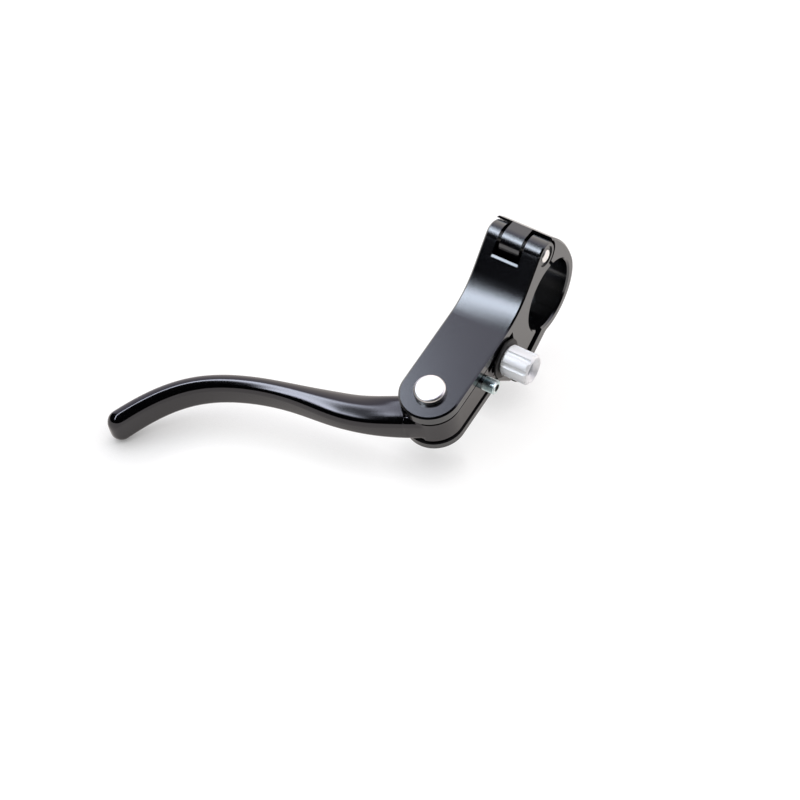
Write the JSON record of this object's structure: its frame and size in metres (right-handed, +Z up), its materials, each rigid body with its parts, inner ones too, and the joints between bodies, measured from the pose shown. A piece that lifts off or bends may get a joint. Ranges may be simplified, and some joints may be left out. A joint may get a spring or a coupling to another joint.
{
  "type": "bicycle brake lever",
  "caption": "Bicycle cross-top brake lever: an S-curved blade pivots in a black bracket with a hinged bar clamp, a barrel adjuster and a reach screw.",
  "frame": {"origin": "middle of the bar clamp's bore, on the axis of the handlebar", "axes": "+X along the handlebar towards the barrel adjuster, +Z up along the lever's pivot, and the lever stands off towards -Y"},
  "size_m": [0.1156, 0.132, 0.0528],
  "materials": {
    "bracket_black": "forged aluminium, satin black anodised",
    "lever_black": "forged aluminium, black anodised, polished first",
    "adjuster_silver": "turned aluminium, silver anodised",
    "pin_steel": "turned steel, nickel plated",
    "bolt_steel": "zinc plated steel",
    "screw_zinc": "blue zinc plated steel",
    "spring_steel": "drawn spring steel",
    "bush_plastic": "moulded acetal",
    "ring_rubber": "moulded nitrile rubber"
  },
  "bodies": {
    "bracket": {"bracket": "bracket_black", "hinge_pin": "pin_steel", "pivot_pin": "pin_steel", "pivot_clip": "spring_steel", "pivot_washer": "bolt_steel", "upper_thrust_washer": "bush_plastic", "lower_thrust_washer": "bush_plastic", "return_spring": "spring_steel"},
    "clamp_jaw": {"clamp_jaw": "bracket_black"},
    "clamp_bolt": {"clamp_bolt": "bolt_steel", "clamp_washer": "bolt_steel"},
    "lever": {"lever": "lever_black", "upper_bush": "bush_plastic", "lower_bush": "bush_plastic"},
    "adjuster_ring": {"adjuster_ring": "ring_rubber"},
    "barrel_adjuster": {"barrel_adjuster": "adjuster_silver"},
    "reach_screw": {"reach_screw": "screw_zinc"}
  },
  "joints": [
    {"name": "lever_pivot", "type": "hinge", "parent": "bracket", "child": "lever", "pos_m": [0, -0.0572, 0.00155], "axis": [0, 0, -1], "range_deg": [0, 24], "stiffness_Nm_per_rad": 0.25, "springref_deg": -34.38, "deforming": ["return_spring"]},
    {"name": "jaw_hinge", "type": "hinge", "parent": "bracket", "child": "clamp_jaw", "pos_m": [0, 0.0014, 0.0204], "axis": [1, 0, 0], "range_deg": [0, 100]},
    {"name": "clamp_bolt_travel", "type": "slide", "parent": "clamp_jaw", "child": "clamp_bolt", "axis": [0, -0.342, 0.9397], "range_m": [0, 0.0049]},
    {"name": "adjuster_advance", "type": "slide", "parent": "lever", "child": "adjuster_ring", "axis": [1, 0, 0], "range_m": [0, 0.004]},
    {"name": "adjuster_turn", "type": "hinge", "parent": "adjuster_ring", "child": "barrel_adjuster", "pos_m": [0.017, -0.0296, 0.00155], "axis": [1, 0, 0], "range_deg": [0, 1440]},
    {"name": "reach_screw_travel", "type": "slide", "parent": "lever", "child": "reach_screw", "axis": [1, 0, 0], "range_m": [0, 0.004]}
  ],
  "couplings": [
    {"joint": "adjuster_turn", "follows": "adjuster_advance", "rad_per_m": 6283.2}
  ]
}
